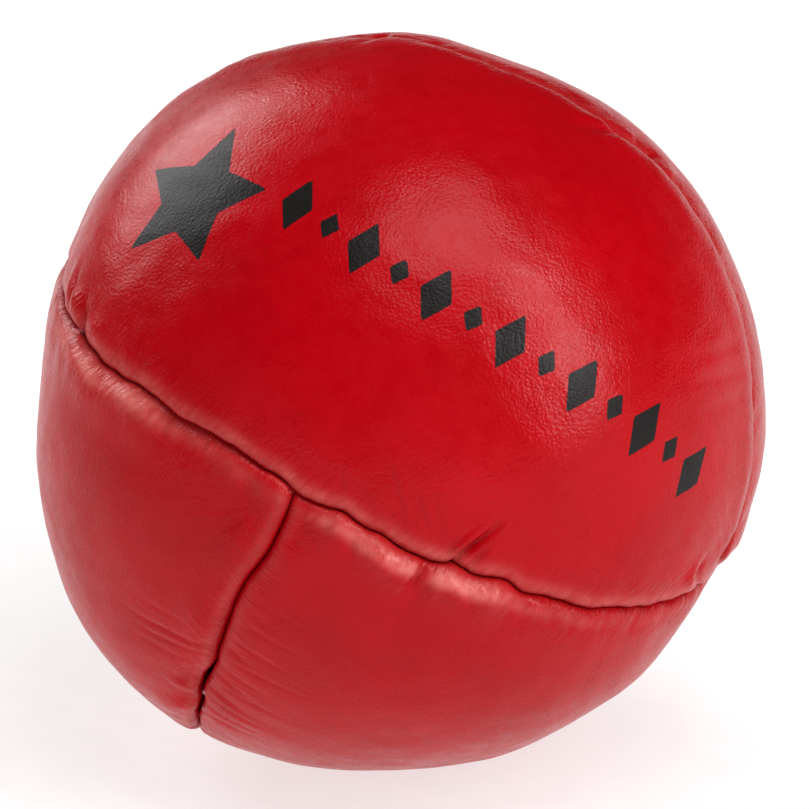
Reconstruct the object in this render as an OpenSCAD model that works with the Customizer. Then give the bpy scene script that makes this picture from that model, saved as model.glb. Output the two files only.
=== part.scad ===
// Four-panel leather juggling ball, machine sewn, filled with millet and closed by hand.
//
// Each panel is a leaf: a quarter of the ball's surface, with both long edges turned in at the seams.
// Two leaves sewn along a split seam make one half of the ball. The two halves are sewn together along
// the girth seam, a quarter turn apart, so each split seam ends in a T at the middle of a plain leaf.
//
// Frame: the ball rests on the flat that its filling settles into. The origin is the centre of that
// flat and +Z is up. All seams are drawn in the seam frame, whose origin is the centre of the ball and
// whose +Z is the pole of the upper half: the girth seam is its XY plane, the upper split seam is its
// XZ plane and the lower split seam is its YZ plane.

/* [Ball] */
// Diameter across the crowns of the panels
ball_d = 65; // [60:1:70]
// Diameter of the flat that the ball settles onto
rest_face_d = 17; // [14:1:17]
// Lean of the upper half's pole from the vertical, towards +X
lean = 22.5; // [22:0.5:28]
// Turn of the seams about the upper half's pole
turn = -17.5; // [-20:0.5:-10]

/* [Leather] */
// Thickness of the leather
leather_t = 1.1; // [0.9:0.1:1.1]
// Radius of the rolled edge on each side of a seam
edge_r = 2.6; // [2.4:0.1:2.8]
// Depth of the stitch line below the foot of the rolled edge
stitch_inset = 0.9; // [0.8:0.05:1.1]
// Width of the turned-in seam allowance, from the stitch line to the raw edge
allowance_w = 4; // [3:0.5:5]

/* [Stitching] */
// Diameter of the sewing thread
thread_d = 0.5; // [0.4:0.05:0.5]
// Clearance between the thread and the wall of a needle hole
hole_clearance = 0.05; // [0.05:0.01:0.08]
// Stitches in the whole length of the girth seam
girth_stitches = 60; // [52:4:60]
// Stitches left out at each end of a split seam, where the girth seam crosses
end_stitches = 1; // [1:1:3]
// Hand-made stitches that close the filling gap in the girth seam
closing_stitches = 10; // [6:2:12]
// Diameter of the knots at the ends of the closing thread
knot_d = 0.9; // [0.8:0.1:1]

/* [Filling] */
// Gap between the filling and the leather
filling_gap = 0.1; // [0.1:0.05:0.3]
// Gap between the filling and the sewn faces of the seam allowances
seam_gap = 1; // [1:0.1:1.5]

/* [Hidden] */

$fn = 96;
round_fn = 24;       // facets of threads and needle holes
overshoot = 1;       // how far a cutting shape runs past what it cuts

leather_red = "#c4081f";
thread_red = "#d8606c";
closing_red = "#e08a90";
millet_straw = "#d9b566";

ball_r = ball_d / 2;
centre_h = sqrt(pow(ball_r, 2) - pow(rest_face_d / 2, 2));

// The circle of a rolled edge stands this far past the two faces it rounds, so that it meets each of
// them in a slight crease
crease = 0.06;
function roll_h(face, roll) = face + roll - crease;
function roll_x(r, face, roll) = sqrt(pow(r - roll + crease, 2) - pow(roll_h(face, roll), 2));

// Where the rolled edge meets the flat seam face, and the lines that follow below it
edge_foot_r = roll_x(ball_r, 0, edge_r) + sqrt(pow(edge_r, 2) - pow(edge_r - crease, 2));
stitch_r = edge_foot_r - stitch_inset;
raw_edge_r = stitch_r - allowance_w;

// Stitch geometry: a bar lies on the face of the allowance, and a leg runs down each needle hole
bar_h = leather_t + thread_d / 2;
leg_r = thread_d / 2 + 0.02;
knuckle_r = thread_d / 2 + 0.04;
hole_r = thread_d / 2 + hole_clearance;
knot_h = leather_t + knot_d / 2 + 0.02;
thread_pass = thread_d + 0.2;

// Needle holes sit half a stitch off the ends of the split seams, so that they match on every panel
pitch_deg = 360 / girth_stitches;
function hole_angles(first, last) = [for (k = [first : last]) (k + 0.5) * pitch_deg];

half_turn = girth_stitches / 2;
panel_girth_holes = hole_angles(-half_turn, -1);
split_holes = hole_angles(end_stitches, half_turn - 1 - end_stitches);

// The hand-closed gap is centred midway between an upper and a lower split seam
closing_first = round(-45 / pitch_deg - 0.5 - closing_stitches / 2);
closing_holes = hole_angles(closing_first, closing_first + closing_stitches);
machine_holes = hole_angles(closing_first + closing_stitches + 1, closing_first + girth_stitches - 1);

// How each of the upper front panel's two seam edges is turned from a seam circle in the XY plane
girth_edge = [0, 0, 90];
split_edge = [90, 90, 0];

// Turns the poles of the filling's round core clear of the seam planes
core_turn = [20, 30, 0];

// How each panel is turned from the upper front one, in the seam frame
upper_front = [0, 0, 0];
upper_back = [0, 0, 180];
lower_left = [180, 0, 90];
lower_right = [180, 0, -90];

// ---- frames ----

// Puts something drawn in the seam frame where the resting ball holds it
module seam_frame() {
    translate([0, 0, centre_h]) rotate([0, lean, 0]) rotate([0, 0, turn]) children();
}

// The same, for something drawn on the upper front panel and wanted on another one
module on_panel(which) {
    seam_frame() rotate(which) children();
}

// A block with its top face at the given height above the resting face
module table(top) {
    translate([-ball_r, -ball_r, top - ball_r]) cube([ball_d, ball_d, ball_r]);
}

// ---- leather ----

// Section of the corner that a rolled edge takes off, where a ball of radius r meets a face at height
// face: x is the distance from the seam circle's axis, y the height above the seam plane
module edge_corner(r, face, roll) {
    centre = [roll_x(r, face, roll), roll_h(face, roll)];
    below = face - overshoot;
    difference() {
        polygon([centre, [centre.x, below], [r + overshoot, below], centre * (r + overshoot) / norm(centre)]);
        translate(centre) circle(r = roll, $fn = round_fn);
    }
}

// Rolls one seam edge of a ball of radius r. The turn brings the edge's seam plane to the XY plane.
module rolled(r, face, roll, edge_turn) {
    difference() {
        children();
        rotate(edge_turn) rotate_extrude() edge_corner(r, face, roll);
    }
}

// The quarter of a ball where y < 0 and z > 0, its two flat faces set back by face, its two long
// edges rolled. The sphere's poles are at the tips of the leaf.
module quarter(r, face, roll) {
    side = r + overshoot;
    rolled(r, face, roll, split_edge)
        rolled(r, face, roll, girth_edge)
            intersection() {
                rotate([45, 0, 0]) rotate([0, 90, 0]) sphere(r = r);
                translate([-side, -side, face]) cube([2 * side, side - face, side]);
            }
}

// Needle holes through the girth allowance and the split allowance of the upper front panel
module needle_holes() {
    row_of_holes(panel_girth_holes);
    rotate([90, 0, 0]) row_of_holes(split_holes);
}

module row_of_holes(angles) {
    for (a = angles)
        rotate([0, 0, a]) translate([stitch_r, 0, -overshoot])
            cylinder(r = hole_r, h = leather_t + 2 * overshoot, $fn = round_fn);
}

// Notches where the girth thread passes through the two ends of the split allowance
module thread_passes() {
    long = leather_t + 2 * overshoot;
    for (end = [-1, 1])
        translate([end * stitch_r - thread_pass / 2, overshoot - long, leather_t])
            cube([thread_pass, long, thread_pass]);
}

// One panel: a curved skin of leather with its two long edges turned in along the seams. The panel
// that carries the ball is pressed flat where it rests.
module panel(which, rests = false) {
    color(leather_red) difference() {
        on_panel(which) quarter(ball_r, 0, edge_r);
        difference() {
            on_panel(which) quarter(ball_r - leather_t, leather_t, edge_r - leather_t);
            if (rests) table(leather_t);
        }
        seam_frame() sphere(r = raw_edge_r);
        on_panel(which) needle_holes();
        on_panel(which) thread_passes();
        if (rests) table(0);
    }
}

module upper_front_panel() {
    panel(upper_front);
}

module upper_back_panel() {
    panel(upper_back);
}

module lower_left_panel() {
    panel(lower_left);
}

module lower_right_panel() {
    panel(lower_right, rests = true);
}

// ---- thread ----

// A stretch of thread between two needle holes, or along many, on the face of an allowance
module bar(from, to) {
    rotate([0, 0, from]) rotate_extrude(angle = to - from)
        translate([stitch_r, bar_h]) circle(d = thread_d, $fn = round_fn);
}

// The thread in one needle hole: a leg from the seam plane to the bar, rounded over at the top
module leg(angle) {
    rotate([0, 0, angle]) translate([stitch_r, 0, 0]) {
        cylinder(r = leg_r, h = bar_h, $fn = round_fn);
        translate([0, 0, bar_h]) sphere(r = knuckle_r, $fn = round_fn);
    }
}

// One of the two threads of a lockstitch. It lies on the z > 0 side of the seam plane and locks with
// the other thread in that plane, at the bottom of every leg.
module lock_thread(holes) {
    bar(holes[0], holes[len(holes) - 1]);
    for (a = holes) leg(a);
}

// The two threads of a split seam, drawn for the upper half
module split_needle_thread() {
    rotate([90, 0, 0]) lock_thread(split_holes);
}

module split_bobbin_thread() {
    rotate([90, 0, 0]) mirror([0, 0, 1]) lock_thread(split_holes);
}

module upper_seam_needle_thread() {
    color(thread_red) on_panel(upper_front) split_needle_thread();
}

module upper_seam_bobbin_thread() {
    color(thread_red) on_panel(upper_front) split_bobbin_thread();
}

module lower_seam_needle_thread() {
    color(thread_red) on_panel(lower_right) split_needle_thread();
}

module lower_seam_bobbin_thread() {
    color(thread_red) on_panel(lower_right) split_bobbin_thread();
}

module girth_seam_needle_thread() {
    color(thread_red) seam_frame() lock_thread(machine_holes);
}

module girth_seam_bobbin_thread() {
    color(thread_red) seam_frame() mirror([0, 0, 1]) lock_thread(machine_holes);
}

// The hand-made ladder stitch: one thread that crosses the seam at every hole, runs along the upper
// and the lower allowance in turn, and is knotted inside at both ends
module closing_stitch_thread() {
    last = len(closing_holes) - 1;
    color(closing_red) seam_frame() {
        for (a = closing_holes) {
            leg(a);
            mirror([0, 0, 1]) leg(a);
        }
        for (i = [0 : last - 1])
            mirror([0, 0, i % 2]) bar(closing_holes[i], closing_holes[i + 1]);
        mirror([0, 0, 1]) knot(closing_holes[0]);
        mirror([0, 0, 1 - last % 2]) knot(closing_holes[last]);
    }
}

module knot(angle) {
    rotate([0, 0, angle]) translate([stitch_r, 0, knot_h]) sphere(d = knot_d, $fn = round_fn);
}

// ---- filling ----

// The mass of millet: a core within the raw edges of the allowances, and a lobe behind each panel
module millet_filling() {
    lobe_r = ball_r - leather_t - filling_gap;
    color(millet_straw) difference() {
        union() {
            seam_frame() rotate(core_turn) sphere(r = raw_edge_r - filling_gap);
            for (which = [upper_front, upper_back, lower_left, lower_right])
                on_panel(which) quarter(lobe_r, leather_t + seam_gap, edge_r - leather_t);
        }
        table(leather_t + filling_gap);
    }
}

// ---- drawing ----

upper_front_panel();
upper_back_panel();
lower_left_panel();
lower_right_panel();
upper_seam_needle_thread();
upper_seam_bobbin_thread();
lower_seam_needle_thread();
lower_seam_bobbin_thread();
girth_seam_needle_thread();
girth_seam_bobbin_thread();
closing_stitch_thread();
millet_filling();
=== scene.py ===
"""Looks of the four-panel leather juggling ball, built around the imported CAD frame.

Everything is worked out in millimetres in the seam frame, as in the part's source: the origin is the
centre of the ball, the girth seam is the XY plane, the upper split seam the XZ plane and the lower
split seam the YZ plane. place() then carries it into the row frame, in metres.
"""

import bmesh
import bpy
import numpy as np
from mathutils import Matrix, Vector


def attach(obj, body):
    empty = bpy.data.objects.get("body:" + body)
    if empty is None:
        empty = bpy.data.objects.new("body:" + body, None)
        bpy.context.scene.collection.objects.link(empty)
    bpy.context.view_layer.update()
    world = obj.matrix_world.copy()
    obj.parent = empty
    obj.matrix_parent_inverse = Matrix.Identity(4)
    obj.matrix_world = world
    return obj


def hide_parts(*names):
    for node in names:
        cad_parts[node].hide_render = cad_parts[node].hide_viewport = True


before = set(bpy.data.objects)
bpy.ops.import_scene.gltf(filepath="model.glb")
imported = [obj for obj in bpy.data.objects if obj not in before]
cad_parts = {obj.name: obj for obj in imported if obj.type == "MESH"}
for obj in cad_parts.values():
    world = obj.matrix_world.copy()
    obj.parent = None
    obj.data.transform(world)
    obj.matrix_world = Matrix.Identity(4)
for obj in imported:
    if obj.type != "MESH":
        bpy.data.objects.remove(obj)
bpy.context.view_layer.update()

MM = 0.001

# ---- sizes, in millimetres, as in the part's source ----

BALL_R = 32.5
REST_FACE_R = 8.5
LEAN = 22.5
TURN = -17.5
LEATHER_T = 1.1
THREAD_D = 0.5
STITCHES = 60
PITCH = 360 / STITCHES
STITCH_R = BALL_R - 3.6
RAW_EDGE_R = STITCH_R - 4
INNER_R = BALL_R - 1.6 - LEATHER_T
CENTRE_H = np.sqrt(BALL_R**2 - REST_FACE_R**2)
# The height above the level from which the ball is looked at, in degrees
VIEW_RISE = 22.5

# How each panel is turned from the upper front one: about X, then about Z
PANELS = {
    "upper_front_panel": (0, 0),
    "upper_back_panel": (0, 180),
    "lower_left_panel": (180, 90),
    "lower_right_panel": (180, -90),
}


# ---- frames ----


def turned(axis, degrees):
    """Matrix of a turn about one of the three axes."""
    c, s = np.cos(np.radians(degrees)), np.sin(np.radians(degrees))
    i, j = [k for k in range(3) if k != axis]
    m = np.eye(3)
    m[i, i] = m[j, j] = c
    m[i, j], m[j, i] = (s, -s) if axis == 1 else (-s, s)
    return m


SEAM_TO_ROW = turned(1, LEAN) @ turned(2, TURN)


def place(points):
    """Seam frame to row frame: turned with the ball, raised to its centre's height, in metres."""
    return (points @ SEAM_TO_ROW.T + (0, 0, CENTRE_H)) * MM


def panel_turn(name):
    """Matrix that carries the upper front panel onto the named one."""
    about_x, about_z = PANELS[name]
    return turned(2, about_z) @ turned(0, about_x)


def unit(v):
    return v / np.linalg.norm(v, axis=-1, keepdims=True)


# ---- random fields ----


SLOPES = 256
FIELD_GAIN = 1.6


def field(x, y, seed):
    """Gradient noise: each whole-number point has a random slope, and the four slopes around a place
    are blended by the quintic smoothstep of its position between them. It stays within about one."""
    angle = np.random.default_rng(seed).uniform(0, 2 * np.pi, (SLOPES, SLOPES))
    i, j = np.floor(x).astype(int), np.floor(y).astype(int)
    fx, fy = x - i, y - j

    def corner(di, dj):
        a = angle[(i + di) % SLOPES, (j + dj) % SLOPES]
        return np.cos(a) * (fx - di) + np.sin(a) * (fy - dj)

    wx = fx**3 * (fx * (fx * 6 - 15) + 10)
    wy = fy**3 * (fy * (fy * 6 - 15) + 10)
    low = corner(0, 0) * (1 - wx) + corner(1, 0) * wx
    high = corner(0, 1) * (1 - wx) + corner(1, 1) * wx
    return (low * (1 - wy) + high * wy) * FIELD_GAIN


def along(s, *stops):
    """Strength along a seam: straight lines through the given (degrees, strength) stops."""
    at, strength = zip(*stops)
    return np.interp(s, at, strength)


def bump(x, width):
    """Bell curve of the given half width."""
    return np.exp(-((x / width) ** 2))


# ---- the ball as it lies: lumps of filling, and seams that wander ----

# Lumps in the filling: direction in the row frame seen from the front (turn anticlockwise from the
# right, and rise towards the front), half width in degrees, height in millimetres
LUMPS = [
    (352, 0, 14, 0.3),
    (70, 0, 13, -0.7),
    (92, 0, 12, 0.3),
    (117, 0, 13, 0.8),
    (153, 5, 11, -0.8),
    (176, 0, 17, -1.65),
    (199, 0, 7, -0.45),
    (228, 8, 22, 1.3),
    (243, 0, 8, 0.5),
    (275, 5, 16, -0.7),
    (300, 0, 12, -0.5),
    (327, 0, 11, -1.0),
    (215, 55, 26, 0.5),
    (60, 50, 26, 0.4),
    (140, 48, 18, -0.3),
    (290, 45, 20, 0.3),
    (30, -50, 24, 0.6),
    (120, -55, 26, -0.5),
    (210, -50, 24, 0.5),
    (300, -45, 22, 0.3),
]
FRONT = np.array([0.0, -np.cos(np.radians(VIEW_RISE)), np.sin(np.radians(VIEW_RISE))])
RIGHT = np.array([1.0, 0.0, 0.0])
UP = -np.cross(RIGHT, FRONT)


def lumps(direction):
    """Sum of bell curves in the angle from each lump's direction, on directions in the row frame."""
    height = np.zeros(direction.shape[:-1])
    for turn, rise, half_width, peak in LUMPS:
        t, r = np.radians(turn), np.radians(rise)
        centre = np.cos(r) * (np.cos(t) * RIGHT + np.sin(t) * UP) + np.sin(r) * FRONT
        angle = np.degrees(np.arccos(np.clip(direction @ centre, -1, 1)))
        height += peak * bump(angle, half_width)
    return height


# Short waves of the girth seam where the slack leather is gathered: azimuth, half width in degrees,
# height in millimetres
GIRTH_WAVES = [
    (-131, 4, -0.45),
    (-104, 6, 0.8),
    (-94, 3.2, 0.55),
    (-81.5, 2.6, 0.65),
    (-75, 2.0, 0.4),
    (-62.5, 2.2, 0.55),
    (-54, 3.2, 0.8),
    (-46, 4, 0.25),
    (-22, 4, 0.3),
    (-4, 9, 1.0),
    (40, 5, 0.5),
    (62, 4, -0.4),
    (85, 5, 0.5),
    (118, 4, -0.5),
    (150, 5, 0.4),
]
# How far the split seams lie off their planes: degrees along the seam, millimetres
LOWER_SHIFT = ((-20, 0.6), (0, 0.6), (9, 0), (22, -1), (47, -1.6), (68, -2.2), (120, -1), (175, 0))
UPPER_SHIFT = (
    (0, -2.6), (4, -1.8), (9, 0), (20, 0.6), (30, 1.6), (45, 3.2), (55, 3.8), (63, 3.4), (73, 2.2),
    (83, 1.2), (95, 0.9), (104, 1.6), (112, 3.2), (122, 4.2), (165, 2), (180, 0),
)
# The girth seam's saddle: two rises and two dips round the ball
SADDLE = 1.3
SADDLE_AT = -65
# How far from its plane a seam's shift still carries the leather along, in millimetres
GIRTH_REACH = 13
WAVE_REACH = 6
LOWER_REACH = 13
UPPER_REACH = 14


def wander(p):
    """Moves points of the seam frame so that the seams wander off their planes. Each seam's sideways
    shift is a function of the angle along it plus gradient noise, and fades with the distance from its
    plane as a bell curve."""
    x, y, z = p[..., 0], p[..., 1], p[..., 2]
    r = np.linalg.norm(p, axis=-1)
    azimuth = np.degrees(np.arctan2(y, x))
    waves = sum(high * bump(azimuth - at, wide) for at, wide, high in GIRTH_WAVES)
    girth = SADDLE * np.sin(np.radians(2 * (SADDLE_AT - azimuth)))
    ring = np.stack([np.cos(np.radians(azimuth)), np.sin(np.radians(azimuth))])
    girth += 0.42 * field(ring[0] * 6 + 9, ring[1] * 6 + 9, 3)
    girth += 0.16 * field(ring[0] * 16 + 40, ring[1] * 16 + 40, 4)
    dz = girth * bump(z, GIRTH_REACH) + waves * bump(z, WAVE_REACH)
    fall = np.degrees(np.arctan2(-z, -y))
    lower = along(fall, *LOWER_SHIFT) + 0.3 * field(fall * 0.16, fall * 0 + 0.5, 5)
    dx = lower * bump(x, LOWER_REACH) * np.clip(-z / 4, 0, 1)
    climb = np.degrees(np.arctan2(z, x))
    upper = along(climb, *UPPER_SHIFT) + 0.22 * field(climb * 0.13, climb * 0 + 0.5, 7)
    dy = upper * bump(y, UPPER_REACH) * np.clip(z / 2.5, 0, 1)
    moved = np.stack([x + dx, y + dy, z + dz], axis=-1)
    return unit(moved) * r[..., None]


BULGE = 0.5 * MM
BULGE_AT = 2.5 * MM


def settle(p):
    """Lays the ball on its resting flat: in the row frame, nothing is left below height zero, and the
    skin just above it bulges out by a bell curve of its height."""
    low = np.clip(p[..., 2:], 0, None)
    out = unit(p[..., :2] + 1e-9)
    reach = np.linalg.norm(p[..., :2], axis=-1, keepdims=True)
    push = BULGE * bump(p[..., 2:] - BULGE_AT, BULGE_AT) * np.clip(reach / (9 * MM), 0, 1)
    return np.concatenate([p[..., :2] + out * push, low], axis=-1)


def finished(points):
    """Seam-frame points to their final place: lumps, wandering seams, row frame, resting flat."""
    direction = unit(points) @ SEAM_TO_ROW.T
    r = np.linalg.norm(points, axis=-1)
    raised = unit(points) * (r + lumps(direction) * np.clip(r / BALL_R, 0, 1) ** 2)[..., None]
    return settle(place(wander(raised)))


# ---- making a mesh ----


def new_mesh(name, points, faces, uv=None, attributes=None):
    """A mesh object from whole arrays: points (n, 3) in metres, faces (m, 3 or 4), a UV pair for each
    point in millimetres, and named numbers for each point."""
    mesh = bpy.data.meshes.new(name)
    count, sides = faces.shape
    mesh.vertices.add(len(points))
    mesh.vertices.foreach_set("co", points.astype(np.float32).ravel())
    mesh.loops.add(count * sides)
    mesh.loops.foreach_set("vertex_index", faces.astype(np.int32).ravel())
    mesh.polygons.add(count)
    mesh.polygons.foreach_set("loop_start", np.arange(count, dtype=np.int32) * sides)
    mesh.update(calc_edges=True)
    if uv is not None:
        layer = mesh.uv_layers.new(name="millimetres")
        layer.data.foreach_set("uv", uv[faces.ravel()].astype(np.float32).ravel())
    for key, values in (attributes or {}).items():
        attribute = mesh.attributes.new(key, "FLOAT", "POINT")
        attribute.data.foreach_set("value", values.astype(np.float32))
    mesh.polygons.foreach_set("use_smooth", np.ones(count, bool))
    piece = bpy.data.objects.new(name, mesh)
    bpy.context.scene.collection.objects.link(piece)
    return piece


WELD = 1e-7


def welded(piece):
    """Merges points that lie on each other, and turns all faces to point outwards."""
    b = bmesh.new()
    b.from_mesh(piece.data)
    bmesh.ops.remove_doubles(b, verts=b.verts, dist=WELD)
    bmesh.ops.recalc_face_normals(b, faces=b.faces)
    b.to_mesh(piece.data)
    b.free()
    return piece


def grid_faces(rows, columns, wrap_rows=False, wrap_columns=False):
    """Quads of a grid of points, row by row."""
    index = np.arange(rows * columns).reshape(rows, columns)
    if wrap_rows:
        index = np.concatenate([index, index[:1]])
    if wrap_columns:
        index = np.concatenate([index, index[:, :1]], axis=1)
    corners = [index[:-1, :-1], index[:-1, 1:], index[1:, 1:], index[1:, :-1]]
    return np.stack(corners, axis=-1).reshape(-1, 4)


# ---- the skin under the push of the filling ----

SIM_COLUMNS = 96
SIM_ROWS = 44
# The skin is simulated at a ball radius of eight metres, where Cloth's own units behave
SIM_SCALE = 8 / BALL_R
SIM_STEPS = 20
SPARE_LEATHER = 0.04
SEAM_SINK = 1.5
# What is kept of the simulated ripples, and the most that one may rise, in millimetres
RIPPLE_SHARE = 0.3
MOST_RIPPLE = 0.16


def smoothed(grid, passes):
    """Repeated average of each grid point with its four neighbours."""
    for _ in range(passes):
        g = np.pad(grid, 1, mode="edge")
        grid = (g[:-2, 1:-1] + g[2:, 1:-1] + g[1:-1, :-2] + g[1:-1, 2:] + 4 * grid) / 8
    return grid


def stuffed_skin():
    """Cloth simulation of the whole skin, in one piece: four coarse leaves joined along the seams,
    which are held, and cut four per cent too wide, so that the filling's pressure throws the slack
    leather into soft ripples."""
    u = np.linspace(0, np.pi, SIM_COLUMNS + 1)[:, None]
    v = np.linspace(0, np.pi / 2, SIM_ROWS + 1)[None]
    leaf = np.stack(np.broadcast_arrays(np.cos(u), -np.sin(u) * np.cos(v), np.sin(u) * np.sin(v)), axis=-1)
    near = BALL_R * np.arcsin(np.clip(np.minimum(-leaf[..., 1], leaf[..., 2]), 0, 1))
    jitter = 1 + 0.004 * field(u * 14 + 3, v * 14 + 3, 17)
    shape = leaf * ((BALL_R - SEAM_SINK * np.exp(-near / SEAM_SINK)) * jitter * SIM_SCALE)[..., None]
    every = np.concatenate([(shape @ panel_turn(name).T).reshape(-1, 3) for name in PANELS])
    held = np.tile((near < 1e-3).ravel(), len(PANELS))
    key = np.round(unit(every) * 1e5).astype(int)
    _, first, where = np.unique(key, axis=0, return_index=True, return_inverse=True)
    where = where.ravel()
    one = grid_faces(SIM_COLUMNS + 1, SIM_ROWS + 1)
    quads = where[np.concatenate([one + k * leaf[..., 0].size for k in range(len(PANELS))])]
    faces = [list(dict.fromkeys(q)) for q in quads.tolist()]
    mesh = bpy.data.meshes.new("skin_under_pressure")
    mesh.from_pydata(every[first].tolist(), [], faces)
    skin = bpy.data.objects.new("skin_under_pressure", mesh)
    bpy.context.scene.collection.objects.link(skin)
    skin.vertex_groups.new(name="seams").add(np.nonzero(held[first])[0].tolist(), 1.0, "REPLACE")
    cloth = skin.modifiers.new("cloth", "CLOTH")
    settings = cloth.settings
    settings.quality = 6
    settings.mass = 0.3
    settings.tension_stiffness = settings.compression_stiffness = 15
    settings.shear_stiffness = 5
    settings.bending_stiffness = 0.3
    settings.vertex_group_mass = "seams"
    settings.use_pressure = True
    settings.uniform_pressure_force = 4
    settings.shrink_min = settings.shrink_max = -SPARE_LEATHER
    settings.effector_weights.gravity = 0
    cloth.collision_settings.use_collision = False
    cloth.point_cache.frame_end = SIM_STEPS
    for step in range(1, SIM_STEPS + 1):
        bpy.context.scene.frame_set(step)
    moved = skin.evaluated_get(bpy.context.evaluated_depsgraph_get()).to_mesh()
    after = np.zeros(len(moved.vertices) * 3)
    moved.vertices.foreach_get("co", after)
    bpy.data.objects.remove(skin)
    bpy.context.scene.frame_set(1)
    far = np.linalg.norm(after.reshape(-1, 3)[where], axis=-1)
    rise = ((far - np.linalg.norm(every, axis=-1)) / SIM_SCALE).reshape(len(PANELS), *near.shape)
    fine = [smoothed(r, 2) - smoothed(r, 24) for r in rise]
    return {
        name: MOST_RIPPLE * np.tanh(RIPPLE_SHARE * r / MOST_RIPPLE) for name, r in zip(PANELS, fine)
    }


def resampled(grid, i, j):
    """A grid's heights at fractional places, by a cubic through four neighbours each way."""
    rows, columns = grid.shape

    def weights(t):
        return (
            (-t + 2 * t**2 - t**3) / 2,
            (2 - 5 * t**2 + 3 * t**3) / 2,
            (t + 4 * t**2 - 3 * t**3) / 2,
            (t**3 - t**2) / 2,
        )

    i0 = np.clip(np.floor(i).astype(int), 0, rows - 2)
    j0 = np.clip(np.floor(j).astype(int), 0, columns - 2)
    total = 0
    for a, wa in enumerate(weights(i - i0)):
        row = np.clip(i0 + a - 1, 0, rows - 1)
        for b, wb in enumerate(weights(j - j0)):
            total = total + wa * wb * grid[row, np.clip(j0 + b - 1, 0, columns - 1)]
    return total


RIPPLES = stuffed_skin()


# ---- leather panels ----

COLUMNS = 420
LIP_ROWS = 14
LIP_W = 2.0
CROWN_ROWS = 150
INNER_ROWS = 12
# Each lip of a seam: how deep it rolls in and over what width, how far the leather sinks towards the
# seam and over what width, and how high it puffs up beside the seam
LIPS = {
    "upper_front_panel": dict(girth=(0.75, 0.75, 0.25, 4, 0.0), split=(0.8, 0.7, 0.1, 4, 0.25)),
    "upper_back_panel": dict(girth=(1.1, 0.9, 0.6, 2, 0.25), split=(0.9, 0.8, 0.4, 3, 0.1)),
    "lower_left_panel": dict(girth=(0.85, 1.25, 0.1, 3, 0.5), split=(0.7, 0.75, 0.3, 3, 0.2)),
    "lower_right_panel": dict(girth=(0.85, 1.15, 0.1, 3, 0.45), split=(0.7, 0.8, 0.5, 4, 0.1)),
}
PUFF_AT = 2.0
PUFF_WIDE = 2.4
# How the puff beside a girth edge swells and dies along the seam; the painted highlight on a girth lip swells
# and dies with it
PUFFS = {
    "upper_front_panel": ((0, 1), (180, 1)),
    "upper_back_panel": ((0, 1), (160, 1), (172, 2.6), (180, 2.6)),
    "lower_left_panel": (
        (0, 0.6), (98, 0.4), (118, 0.4), (128, 1.0), (138, 1.3), (153, 1.3), (157, 0.5), (163, 0.4),
        (171, 0.3), (178, 0.1), (180, 0.1),
    ),
    "lower_right_panel": (
        (0, 0.1), (3, 0.15), (6, 0.75), (10.5, 0.7), (14.5, 1.3), (21, 1.25), (22.5, 0.2), (23.5, 0.3),
        (25.5, 1.3), (35, 1.2), (38, 0.5), (47, 0.35), (60, 0.25), (90, 0.2), (180, 0.7),
    ),
}
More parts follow.
